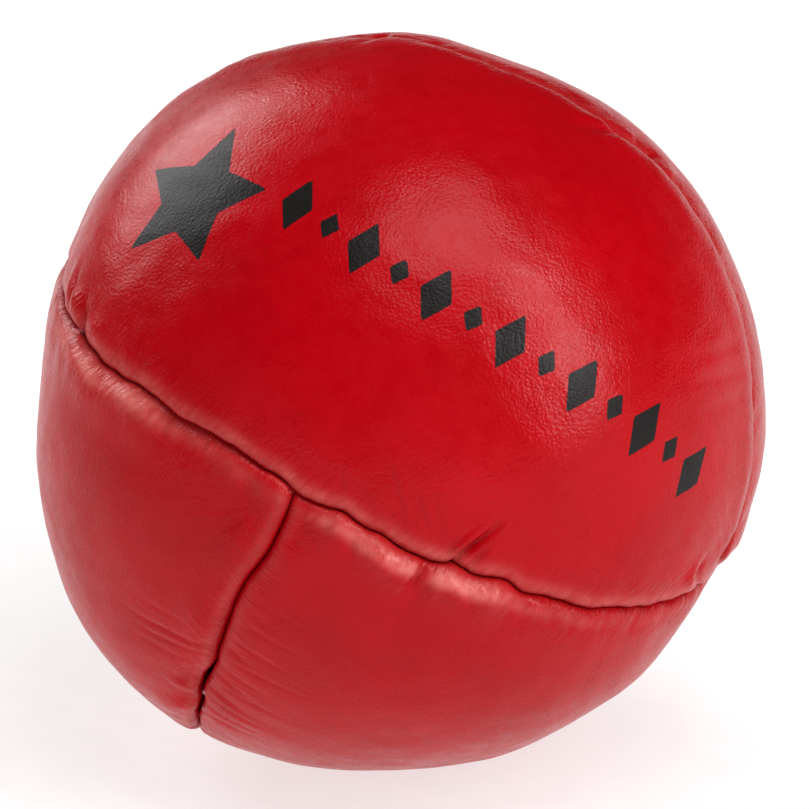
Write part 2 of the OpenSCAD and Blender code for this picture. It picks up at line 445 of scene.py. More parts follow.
# Folds and creases beside the seams. For each panel and edge: angle along the seam, distance from
# it, half length along the seam, half length across, lean, height
FOLDS = {
    "upper_front_panel": {
        "girth": [
            (149, 1.8, 1.0, 1.6, 0.5, 0.3),
            (144.5, 1.6, 1.3, 1.5, 0.4, 0.5),
            (146.8, 1.8, 0.35, 1.6, 0.5, -0.22),
            (140.2, 1.0, 0.6, 1.3, 0.4, -0.7),
            (136, 1.6, 1.6, 1.3, 0.0, 0.25),
            (120, 3.0, 0.5, 2.0, -0.6, -0.08),
            (84, 3.0, 0.2, 1.4, 0.3, -0.08),
            (75, 4.0, 0.25, 2.2, 0.8, -0.1),
            (73, 4.5, 0.25, 2.6, 0.7, -0.09),
            (71, 4.0, 0.25, 2.2, 0.8, -0.11),
            (69, 4.6, 0.25, 2.0, 0.6, -0.08),
            (61.3, 2.2, 0.34, 2.6, -0.5, -0.9),
            (62.8, 2.2, 0.4, 1.8, -0.5, 0.3),
            (59.7, 1.6, 0.28, 1.4, -0.35, -0.5),
            (64.2, 1.3, 0.24, 0.9, -0.2, -0.3),
            (13, 2.0, 0.9, 1.6, 0.4, 0.35),
            (10, 2.0, 0.5, 1.6, 0.4, -0.3),
        ],
        "split": [
            (35, 6.0, 0.6, 5.0, 0.2, -0.10),
            (31, 6.0, 0.6, 4.0, 0.1, -0.08),
            (39, 6.0, 0.6, 4.0, 0.15, -0.08),
            (77, 1.6, 0.8, 2.2, 0.6, -0.35),
            (80, 1.8, 1.0, 2.0, 0.6, 0.2),
            (118, 1.5, 0.7, 1.8, 0.2, -0.3),
        ],
    },
    "upper_back_panel": {
        "girth": [
            (40, 3.0, 0.8, 2.5, 0.6, -0.3),
            (80, 2.4, 1.5, 2.0, 0.0, 0.3),
            (130, 3.0, 0.9, 2.5, -0.5, -0.3),
        ],
        "split": [
            (62, 1.4, 0.5, 1.6, 0.0, -0.4),
            (110, 1.6, 0.5, 1.6, 0.2, -0.3),
            (114, 1.5, 0.6, 1.4, 0.2, 0.2),
            (106, 1.4, 0.6, 1.4, -0.2, 0.15),
        ],
    },
    "lower_left_panel": {
        "girth": [
            (163, 1.0, 8.5, 5.0, 0.0, -0.65),
            (176, 1.2, 1.2, 1.2, 0.0, 0.2),
            (169, 1.4, 1.6, 1.2, 0.0, 0.15),
            (150, 1.4, 2.6, 1.3, 0.2, 0.15),
            (134, 1.4, 2.2, 1.4, 0.0, 0.2),
            (164, 1.0, 0.35, 0.9, 0.3, -0.15),
            (157, 1.0, 0.3, 0.9, -0.3, -0.15),
            (153, 1.0, 0.3, 0.9, 0.2, -0.12),
            (142, 1.2, 0.35, 1.2, 0.2, -0.15),
        ],
        "split": [
            (168, 2.4, 2.5, 1.6, 0.0, 0.35),
            (152, 2.2, 2.6, 1.5, 0.0, 0.3),
            (147, 4.4, 0.24, 3.8, -0.25, -0.17),
            (145, 4.0, 0.22, 3.0, -0.3, -0.14),
            (150, 6.0, 0.22, 2.6, -0.2, -0.06),
            (142, 5.0, 0.22, 2.6, -0.2, -0.06),
            (139.5, 0.9, 1.5, 0.9, 0.0, -0.5),
            (131.5, 0.9, 1.1, 0.9, 0.0, -0.45),
            (135.5, 1.4, 0.5, 1.2, 0.1, 0.2),
            (126, 2.2, 2.2, 1.6, 0.0, 0.25),
        ],
    },
    "lower_right_panel": {
        "girth": [
            (1.5, 1.6, 2.4, 3.0, 0.0, -0.35),
            (8, 1.2, 0.8, 1.0, 0.3, 0.25),
            (11, 1.4, 0.35, 1.0, 0.3, -0.15),
            (16, 1.5, 2.3, 1.3, 0.45, 0.5),
            (22.2, 1.6, 0.35, 1.7, -0.3, -0.45),
            (21.2, 2.6, 0.22, 1.3, -0.4, -0.14),
            (26.5, 1.5, 2.4, 1.2, 0.5, 0.5),
            (30.5, 1.2, 0.5, 1.0, 0.5, -0.2),
            (34.5, 1.4, 1.8, 1.1, 0.2, 0.35),
            (40.5, 1.2, 0.4, 1.0, 0.2, -0.2),
            (43, 1.0, 0.8, 0.8, 0.2, 0.15),
            (46, 1.2, 0.35, 0.9, 0.2, -0.18),
            (50, 1.2, 0.4, 1.0, 0.2, -0.18),
            (57, 1.2, 0.5, 1.0, 0.0, -0.18),
            (64, 1.2, 0.5, 1.0, 0.0, -0.18),
        ],
        "split": [
            (10, 2.0, 2.0, 1.6, 0.0, 0.2),
            (16, 3.6, 0.2, 2.2, 0.1, -0.05),
            (19, 4.0, 0.2, 3.0, 0.1, -0.07),
            (21.5, 3.0, 0.18, 1.8, 0.2, -0.06),
            (24, 3.5, 0.2, 2.4, 0.1, -0.08),
            (28.5, 3.2, 0.22, 2.6, 0.15, -0.12),
            (30.5, 1.6, 0.3, 1.2, 0.3, -0.14),
            (33, 4.6, 0.2, 3.6, 0.1, -0.08),
            (36, 3.0, 0.22, 2.2, 0.2, -0.08),
            (38.5, 2.4, 0.24, 2.0, 0.4, -0.12),
            (40.5, 4.0, 0.22, 3.4, 0.2, -0.1),
            (43, 2.2, 0.3, 2.0, 0.4, -0.16),
            (46, 3.0, 0.24, 2.2, 0.3, -0.12),
            (49, 2.6, 0.24, 2.4, 0.2, -0.12),
            (52, 2.6, 0.3, 2.0, 0.1, -0.14),
        ],
    },
}
# How strongly fine puckers mark each lip, along the seam
PUCKERS = {
    "upper_front_panel": dict(
        girth=((0, 0.35), (20, 0.2), (60, 0.3), (75, 0.35), (90, 0.25), (110, 0.2), (140, 0.5), (180, 0.4)),
        split=((0, 0.3), (30, 0.25), (75, 0.45), (90, 0.3), (120, 0.4), (180, 0.5)),
    ),
    "upper_back_panel": dict(
        girth=((0, 0.7), (180, 0.7)),
        split=((0, 0.5), (60, 0.9), (75, 0.8), (180, 0.5)),
    ),
    "lower_left_panel": dict(
        girth=((0, 0.6), (90, 0.6), (105, 0.25), (124, 0.35), (138, 0.9), (150, 1.0), (180, 0.8)),
        split=((0, 0.6), (120, 0.5), (150, 0.45), (180, 0.25)),
    ),
    "lower_right_panel": dict(
        girth=((0, 0.6), (20, 0.8), (40, 0.9), (60, 0.5), (85, 0.4), (180, 0.7)),
        split=((0, 0.2), (18, 0.3), (50, 0.4), (180, 0.7)),
    ),
}
# Painted highlight beside each seam, on the crests of the lips where they catch the light, partly a rubbed
# pale finish: distance from it, half width, strength
RUB_AND_HIGHLIGHT = {
    "upper_front_panel": dict(girth=(0.8, 0.75, 0.42), split=(0.5, 0.35, 0.4)),
    "upper_back_panel": dict(girth=(1.1, 0.8, 0.3), split=(0.9, 0.7, 0.15)),
    "lower_left_panel": dict(girth=(1.1, 0.85, 0.85), split=(0.8, 0.45, 0.2)),
    "lower_right_panel": dict(girth=(1.0, 0.65, 0.85), split=(0.9, 0.5, 0.08)),
}
# Where the lower split seam gapes: degrees below its front end, half length in degrees, half width of
# the gap in millimetres
GAPES = ((40.5, 3.0, 0.2), (45, 1.6, 0.08), (48, 2.1, 0.18), (51, 1.5, 0.08), (54.5, 2.0, 0.14))
GAPE_REACH = 2.0
# How far from a seam the inner face starts to turn in to the allowance
ALLOWANCE_REACH = 3.2


def gape(fall):
    """Half width of the open seam, in millimetres, along the lower split seam."""
    return sum(wide * bump(fall - at, length) for at, length, wide in GAPES)


def relief(name, edge, angle, distance, seed):
    """Height of the leather beside one seam edge, in millimetres: the folds laid out above, as leaning
    bell curves in arc length and distance; scallops between the stitches; and fine creases square to
    the seam, a gradient noise drawn out across the seam, sharpened, and faded with distance."""
    s = np.radians(angle) * BALL_R
    height = np.zeros_like(s)
    for at, off, half_along, half_across, lean, peak in FOLDS[name][edge]:
        d = distance - off
        height += peak * bump(s - np.radians(at) * BALL_R - lean * d, half_along) * bump(d, half_across)
    strength = along(angle, *PUCKERS[name][edge])
    stitch = np.radians(PITCH) * BALL_R
    pull = np.cos(2 * np.pi * s / stitch) + 1.2 * field(s * 0.35, distance * 0.1, seed)
    height += -0.06 * strength * pull * np.exp(-distance / 1.4)
    sway = 0.9 * field(s * 0.16, distance * 0.25, seed + 1) * distance
    crease = field((s + sway) / 0.8, distance / 5, seed + 2)
    fold = field((s + sway) / 2.3, distance / 5, seed + 3)
    near = np.exp(-((distance / 2.2) ** 1.5))
    height += -0.13 * strength * np.clip(1 - np.abs(crease) * 4, 0, 1) ** 1.5 * near
    height += 0.16 * strength * fold * np.exp(-((distance / 3) ** 2))
    return height


def panel_rows(u):
    """Where the rows of a panel run at each column: the share of the quarter turn between its two seams.
    The rows on a lip bunch up towards the seam as one minus the cosine of an even angle."""
    width = BALL_R * np.pi / 2 * np.sin(u)
    lip = np.minimum(LIP_W / np.maximum(width, 1e-9), 0.3)[:, None]
    near = lip * (1 - np.cos(np.linspace(0, np.pi / 2, LIP_ROWS + 1)))
    middle = lip + (1 - 2 * lip) * np.linspace(0, 1, CROWN_ROWS + 1)[1:-1]
    return np.concatenate([near, middle, 1 - near[:, ::-1]], axis=1)


def roll(distance_g, distance_s, lips, swell, sway_g, sway_s):
    """Depth of the rolled edges below the crown: each lip is a quarter of an ellipse as deep and as wide
    as it says, the two are joined at the corners by the cube root of the sum of their cubes, and each
    crown sinks towards the seam by an exponential, after a puff that is a bell curve of the distance."""
    deep_g, wide_g, sink_g, reach_g, puff_g = lips["girth"]
    deep_s, wide_s, sink_s, reach_s, puff_s = lips["split"]
    q_g = np.clip(1 - distance_g / (wide_g * sway_g), 0, 1)
    q_s = np.clip(1 - distance_s / (wide_s * sway_s), 0, 1)
    q = np.clip((q_g**3 + q_s**3) ** (1 / 3), 0, 1)
    share = q_g / np.maximum(q_g + q_s, 1e-9)
    deep = deep_g * share + deep_s * (1 - share)
    sink = sink_g * np.exp(-distance_g / reach_g) + sink_s * np.exp(-distance_s / reach_s)
    puff = puff_g * swell * bump(distance_g - PUFF_AT, PUFF_WIDE)
    puff = puff + puff_s * bump(distance_s - PUFF_AT, PUFF_WIDE)
    return deep * (1 - np.sqrt(1 - q**2)) + sink - puff


def panel_frame(name):
    """The panel's surface on a grid of columns along the leaf and rows across it, in the seam frame:
    a point of the sphere at angle u along the leaf and v across it is (cos u, -sin u cos v, sin u sin v),
    turned to the panel's place. Returns directions, angles along the seams, and distances from them."""
    u = np.linspace(0, np.pi, COLUMNS + 1)
    v = np.pi / 2 * panel_rows(u)
    u = np.broadcast_to(u[:, None], v.shape)
    x, y, z = np.cos(u), -np.sin(u) * np.cos(v), np.sin(u) * np.sin(v)
    direction = np.stack([x, y, z], axis=-1)
    angle_g = np.degrees(np.arctan2(np.clip(-y, 0, None), x))
    angle_s = np.degrees(np.arctan2(np.clip(z, 0, None), x))
    distance_g = BALL_R * np.arcsin(np.clip(z, 0, 1))
    distance_s = BALL_R * np.arcsin(np.clip(-y, 0, 1))
    return u, v, direction, (angle_g, angle_s), (distance_g, distance_s)


def panel_heights(name, u, v, angles, distances, seed):
    """Radius of the outer face of the leather at each point of the panel's grid, in millimetres."""
    (angle_g, angle_s), (distance_g, distance_s) = angles, distances
    sway_g = 1 + 0.25 * field(angle_g * 0.12, angle_g * 0 + 0.3, seed + 20)
    sway_s = 1 + 0.25 * field(angle_s * 0.12, angle_s * 0 + 0.3, seed + 21)
    depth = roll(distance_g, distance_s, LIPS[name], along(angle_g, *PUFFS[name]), sway_g, sway_s)
    tip = np.clip(np.sin(u) * BALL_R / 5, 0, 1)
    fade = tip * tip * (3 - 2 * tip)
    height = relief(name, "girth", angle_g, distance_g, seed) * fade * np.clip(distance_s / 2, 0, 1)
    height += relief(name, "split", angle_s, distance_s, seed + 5) * fade * np.clip(distance_g / 2, 0, 1)
    s, t = BALL_R * (u - np.pi / 2), distance_g - distance_s
    height += 0.10 * fade * field(s / 9 + 5, t / 11 + 5, seed + 10)
    height += 0.035 * fade * field(s / 3.1 + 5, t / 4.3 + 5, seed + 11)
    if RIPPLES is not None:
        height += fade * resampled(RIPPLES[name], u / np.pi * SIM_COLUMNS, v / (np.pi / 2) * SIM_ROWS)
    return BALL_R - depth + height


def rub_and_highlight_share(name, angles, distances, seed):
    """How strongly the crest of each lip is painted pale, as a painted highlight and partly a stretched and
    rubbed finish: a bell curve of the distance from the seam, broken up by a gradient noise drawn out across
    the seam."""
    total = 0
    for side, edge in enumerate(("girth", "split")):
        at, wide, most = RUB_AND_HIGHLIGHT[name][edge]
        s = np.radians(angles[side]) * BALL_R
        swell = along(angles[side], *PUFFS[name]) if edge == "girth" else 1
        d = distances[side]
        broken = 0.75 + 0.35 * field((s + 0.5 * d) / 0.5, d / 1.4, seed + 30)
        broken = broken + 0.3 * field(s / 3.0, d / 2.0, seed + 31)
        total = total + most * swell * bump(d - at, wide) * np.clip(broken, 0, 1.3)
    return np.clip(total, 0, 1)


def panel(name, seed):
    """One leather panel as a closed skin: the outer face, the turned-in allowance below each lip, and
    the inner face, which thickens into the allowances as a quadratic of the distance from the seam."""
    u, v, direction, angles, distances = panel_frame(name)
    outer_r = panel_heights(name, u, v, angles, distances, seed)
    turn = panel_turn(name).T
    outer = (direction * outer_r[..., None]) @ turn
    if name.startswith("lower"):
        fall = angles[1] if name == "lower_right_panel" else 180 - angles[1]
        away = gape(fall) * np.exp(-distances[1] / GAPE_REACH)
        outer[..., 0] += away * (1 if name == "lower_right_panel" else -1)
    pick = np.linspace(0, v.shape[1] - 1, INNER_ROWS + 1).round().astype(int)
    fill = [np.clip(1 - d[:, pick] / ALLOWANCE_REACH, 0, 1) ** 2 for d in distances]
    sunk = np.clip(fill[0] + fill[1], 0, 1)
    inner_r = INNER_R - (INNER_R - RAW_EDGE_R) * sunk
    inner = (direction[:, pick] * inner_r[..., None]) @ turn
    points = finished(np.concatenate([outer, inner[:, ::-1]], axis=1))
    rows, columns = points.shape[:2]
    uv = np.stack([BALL_R * (u - np.pi / 2), BALL_R * (v - np.pi / 4) * np.sin(u)], axis=-1)
    uv = np.concatenate([uv, uv[:, pick][:, ::-1]], axis=1).reshape(-1, 2)
    near = np.minimum(distances[0], distances[1])
    near = np.concatenate([near, near[:, pick][:, ::-1]], axis=1).ravel()
    # Share of painted highlight on the crests of the lips, partly rubbed finish; none on the inner face
    rub_and_highlight = rub_and_highlight_share(name, angles, distances, seed)
    rub_and_highlight = np.concatenate([rub_and_highlight, rub_and_highlight[:, pick][:, ::-1] * 0], axis=1).ravel()
    ink = print_depth(uv) if name == "upper_front_panel" else np.full(rows * columns, NO_INK)
    faces = grid_faces(rows, columns, wrap_columns=True)
    marks = {"ink": ink, "seam": near, "rub_and_highlight": rub_and_highlight}
    return welded(new_mesh(name + "_leather", points.reshape(-1, 3), faces, uv=uv, attributes=marks))


# ---- the print ----

# In millimetres on the leaf, and degrees
STAR_AT = (21.9, -2.7)
STAR_R = 7.2
STAR_TURN = 20
DIAMONDS = 13
FIRST_DIAMOND = 11.5
DIAMOND_STEP = 3.7
TALL_DIAMOND = (1.55, 2.7)
SHORT_DIAMOND = (0.95, 1.35)
# A depth well outside every printed shape
NO_INK = -5.0


def outline_depth(x, y, corners):
    """Depth inside a closed outline of straight lines, negative outside: the distance to the nearest
    line, with its sign from the number of lines that a ray to the right crosses."""
    nearest = np.full(x.shape, np.inf)
    inside = np.zeros(x.shape, bool)
    for (ax, ay), (bx, by) in zip(corners, np.roll(corners, -1, axis=0)):
        dx, dy = bx - ax, by - ay
        t = np.clip(((x - ax) * dx + (y - ay) * dy) / (dx * dx + dy * dy), 0, 1)
        nearest = np.minimum(nearest, np.hypot(x - ax - t * dx, y - ay - t * dy))
        if dy != 0:
            crosses = (ay > y) != (by > y)
            inside ^= crosses & (x < ax + (y - ay) / dy * dx)
    return np.where(inside, nearest, -nearest)


def print_depth(uv):
    """Depth inside the printed shapes, in millimetres on the leaf: a five-pointed star, and a row of
    diamonds, tall and short in turn, on a shallow curve."""
    point = np.radians(np.arange(10) * 36 + STAR_TURN)
    reach = np.where(np.arange(10) % 2 == 0, STAR_R, STAR_R * 0.5)
    star = np.stack([reach * np.cos(point), reach * np.sin(point)], axis=-1) + STAR_AT
    depth = outline_depth(uv[:, 0], uv[:, 1], star)
    for k in range(DIAMONDS):
        x = FIRST_DIAMOND - DIAMOND_STEP * k
        angle = np.radians(90) + x / BALL_R
        v = np.radians(38.3 + 4.9 * ((np.degrees(angle) - 75) / 38) ** 2)
        y = BALL_R * (v - np.pi / 4) * np.sin(angle)
        wide, tall = TALL_DIAMOND if k % 2 == 0 else SHORT_DIAMOND
        diamond = np.array([(wide, 0), (0, tall), (-wide, 0), (0, -tall)]) + (x, y)
        depth = np.maximum(depth, outline_depth(uv[:, 0], uv[:, 1], diamond))
    return depth


# ---- thread ----


PLIES = 3
TWISTS_PER_MM = 1.1
THREAD_SIDES = 10
PLY_LOBE = 0.16


def twisted(name, path, across, radius):
    """A twisted thread carried along a path: its section is a circle with a shallow lobe for each ply,
    the cosine of the angle round it, which turns as it goes. across is a direction at each point that is
    not along the path."""
    step = np.gradient(path, axis=0)
    ahead = unit(step)
    side = unit(across - (across * ahead).sum(-1, keepdims=True) * ahead)
    up = np.cross(ahead, side)
    run = np.cumsum(np.linalg.norm(step, axis=-1))
    angle = np.linspace(0, 2 * np.pi, THREAD_SIDES, endpoint=False)
    lobe = 1 + PLY_LOBE * np.cos(PLIES * angle[None] - 2 * np.pi * TWISTS_PER_MM * run[:, None])
    out = np.cos(angle)[None, :, None] * side[:, None] + np.sin(angle)[None, :, None] * up[:, None]
    points = finished(path[:, None] + radius * lobe[..., None] * out)
    count = len(path)
    faces = grid_faces(count, THREAD_SIDES, wrap_columns=True)
    ends = np.stack([points[0].mean(0), points[-1].mean(0)])
    k = np.arange(THREAD_SIDES)
    after = (k + 1) % THREAD_SIDES
    first, last_ring = count * THREAD_SIDES, (count - 1) * THREAD_SIDES
    start = np.stack([k * 0 + first, k, after], axis=-1)
    finish = np.stack([k * 0 + first + 1, last_ring + after, last_ring + k], axis=-1)
    caps = np.concatenate([start, finish])
    tube = new_mesh(name, np.concatenate([points.reshape(-1, 3), ends]), faces)
    b = bmesh.new()
    b.from_mesh(tube.data)
    b.verts.ensure_lookup_table()
    for a in caps:
        b.faces.new([b.verts[i] for i in a]).smooth = True
    bmesh.ops.recalc_face_normals(b, faces=b.faces)
    b.to_mesh(tube.data)
    b.free()
    return tube


BRIDGE_RISE = 2.95
BRIDGE_W = 1.5
STEPS_PER_STITCH = 26
# How far the middle of a thread stays from the seam plane where it dips into a needle hole
DIP = 0.24


def bridging(fall):
    """How far the threads of the lower split seam are drawn up at the two holes where the seam gapes,
    so that they bridge the gap."""
    return BRIDGE_RISE * bump(fall - 45, BRIDGE_W) + BRIDGE_RISE * bump(fall - 51, BRIDGE_W)


def lock_path(first, last, side, rise=None):
    """One thread of a lockstitch on a seam circle in the XY plane, from one angle to another: it lies
    along its own side of the allowances and dips to the seam plane at each needle hole, as a power of
    the sine of the angle between holes."""
    steps = int((last - first) / PITCH * STEPS_PER_STITCH)
    angle = np.linspace(first, last, steps)
    lift = np.abs(np.sin(np.radians(angle / PITCH * 180 - 90))) ** 0.45
    height = side * (DIP + (LEATHER_T + THREAD_D / 2 - DIP) * lift)
    radius = np.full(steps, STITCH_R) if rise is None else STITCH_R + rise(angle)
    c, s = np.cos(np.radians(angle)), np.sin(np.radians(angle))
    path = np.stack([radius * c, radius * s, height], axis=-1)
    return path, np.stack([c, s, np.zeros(steps)], axis=-1)


def ladder_path(first, last, reach_in, height):
    """A ladder stitch over a seam circle in the XY plane: the thread crosses the seam at every hole and
    runs along one side, then the other. Its height is a squared-off sine of the angle."""
    steps = int((last - first) / PITCH * STEPS_PER_STITCH)
    angle = np.linspace(first, last, steps)
    swing = np.sin(np.radians(angle / PITCH * 180))
    h = height * np.clip(swing * 3, -1, 1)
    c, s = np.cos(np.radians(angle)), np.sin(np.radians(angle))
    path = np.stack([reach_in * c, reach_in * s, h], axis=-1)
    return path, np.stack([c, s, np.zeros(steps)], axis=-1)


def tail_path():
    """A short thread end that comes up out of the left part of the girth seam: it rises as a sine and
    drifts along and above the seam as a square of the way along it."""
    t = np.linspace(0, 1, 24)
    angle = np.radians(-140.5 + 3.2 * t**2)
    radius = STITCH_R + 1.2 + 3.1 * np.sin(t * 1.9)
    path = np.stack([radius * np.cos(angle), radius * np.sin(angle), 0.15 + 0.5 * t**2], axis=-1)
    return path, np.tile((0.0, 0.0, 1.0), (len(t), 1))


def split_to_seam(path, across, name):
    """Carries a path on a seam circle in the XY plane onto the named panel's split seam."""
    turn = panel_turn(name) @ turned(0, 90)
    return path @ turn.T, across @ turn.T


# ---- filling ----

GRAINS = 2400
GRAIN_R = 0.95
GRAIN_FLAT = 0.85
GRAIN_ROUND = 6
GRAIN_RINGS = 4
CORE_ROUND = 96
CORE_RINGS = 48


def filling_r(direction):
    """How far the millet reaches in each direction of the seam frame: out to the leather behind the
    crowns, and in to the raw edges of the allowances under the seams, by a smoothstep of the distance
    from the nearest seam plane."""
    x, y, z = direction[..., 0], direction[..., 1], direction[..., 2]
    split = np.where(z > 0, np.abs(y), np.abs(x))
    off = BALL_R * np.minimum(np.abs(z), split)
    t = np.clip((off - 1.5) / 4, 0, 1)
    return RAW_EDGE_R - 1.4 + (INNER_R - 1.2 - RAW_EDGE_R + 1.4) * t * t * (3 - 2 * t)


def millet():
    """The mass of millet: a packed core, and on it the outermost layer of grains, which press against
    the leather. The grains sit on a spiral that goes round the ball by the golden angle, even in
    height, each a slightly flattened ball of its own size, turned its own way."""
    dice = np.random.default_rng(11)
    k = np.arange(GRAINS) + 0.5
    height = 1 - 2 * k / GRAINS
    turn = k * np.pi * (3 - np.sqrt(5))
    flat = np.sqrt(1 - height**2)
    centre = np.stack([flat * np.cos(turn), flat * np.sin(turn), height], axis=-1)
    centre = unit(centre + dice.normal(0, 0.008, centre.shape))
    around = np.linspace(0, 2 * np.pi, GRAIN_ROUND, endpoint=False)
    tall = np.linspace(0, np.pi, GRAIN_RINGS + 1)[1:-1]
    x, y = np.outer(np.sin(tall), np.cos(around)), np.outer(np.sin(tall), np.sin(around))
    ring = np.stack([x, y, np.outer(np.cos(tall), np.ones(GRAIN_ROUND))], axis=-1)
    grain = np.concatenate([[(0, 0, 1)], ring.reshape(-1, 3), [(0, 0, -1)]]) * (1, 1, GRAIN_FLAT)
    one = unit(dice.normal(0, 1, (GRAINS, 3)))
    two = unit(np.cross(one, dice.normal(0, 1, (GRAINS, 3))))
    axes = np.stack([one, two, np.cross(one, two)], axis=1)
    size = GRAIN_R * dice.uniform(0.88, 1.1, (GRAINS, 1, 1))
    points = (centre * filling_r(centre)[:, None])[:, None] + (grain @ axes) * size
    count = len(grain)
    band = np.arange(GRAIN_ROUND)
    after = (band + 1) % GRAIN_ROUND
    top = np.stack([band * 0, 1 + band, 1 + after], axis=-1)
    low = count - 1 - GRAIN_ROUND
    bottom = np.stack([band * 0 + count - 1, low + after, low + band], axis=-1)
    sides = []
    for row in range(GRAIN_RINGS - 2):
        a, b = 1 + row * GRAIN_ROUND + band, 1 + row * GRAIN_ROUND + after
        sides.append(np.stack([a, a + GRAIN_ROUND, b], axis=-1))
        sides.append(np.stack([b, a + GRAIN_ROUND, b + GRAIN_ROUND], axis=-1))
    each = np.concatenate([top, bottom] + sides)
    faces = (each[None] + np.arange(GRAINS)[:, None, None] * count).reshape(-1, 3)
    v, u = np.linspace(0, np.pi, CORE_RINGS + 1), np.linspace(0, 2 * np.pi, CORE_ROUND, endpoint=False)
    v, u = np.meshgrid(v, u, indexing="ij")
    sphere = np.stack([np.sin(v) * np.cos(u), np.sin(v) * np.sin(u), np.cos(v)], axis=-1)
    # The lower pole is exactly on the axis, so that the core closes there
    sphere[-1] = (0, 0, -1)
    core = sphere * (filling_r(sphere) - 0.5)[..., None]
    quads = grid_faces(*core.shape[:2], wrap_columns=True)
    core_faces = np.concatenate([quads[:, :3], quads[:, [0, 2, 3]]]) + GRAINS * count
    points = finished(np.concatenate([points.reshape(-1, 3), core.reshape(-1, 3)]))
    points[:, 2] = np.maximum(points[:, 2], LEATHER_T * MM)
    return welded(new_mesh("millet_grains", points, np.concatenate([faces, core_faces])))


# ---- materials ----


def linear(colour):
    """An sRGB hex colour as the linear numbers that Blender takes."""
    rgb = np.array([int(colour[i : i + 2], 16) / 255 for i in (1, 3, 5)])
    rgb = np.where(rgb <= 0.04045, rgb / 12.92, ((rgb + 0.055) / 1.055) ** 2.4)
    return (*rgb.tolist(), 1.0)


class Finish:
    """A material's node tree, with one way to add a node."""

    def __init__(self, name):
        self.material = bpy.data.materials.new(name)
        self.material.use_nodes = True
        self.tree = self.material.node_tree
        self.tree.nodes.clear()

    def add(self, kind, settings=None, **inputs):
        """Adds a node of the given kind: settings are its own properties, inputs are values or other
        nodes' sockets. Input names use _ for a space, or a number after a leading underscore."""
        node = self.tree.nodes.new("ShaderNode" + kind)
        for key, value in (settings or {}).items():
            setattr(node, key, value)
        for key, value in inputs.items():
            socket = node.inputs[int(key[1:])] if key[0] == "_" else node.inputs[key.replace("_", " ")]
            if isinstance(value, bpy.types.NodeSocket):
                self.tree.links.new(value, socket)
            else:
                socket.default_value = value
        return node


def mapped(low, high, to_low, to_high):
    """The four limits of a Map Range node."""
    return dict(From_Min=low, From_Max=high, To_Min=to_low, To_Max=to_high)


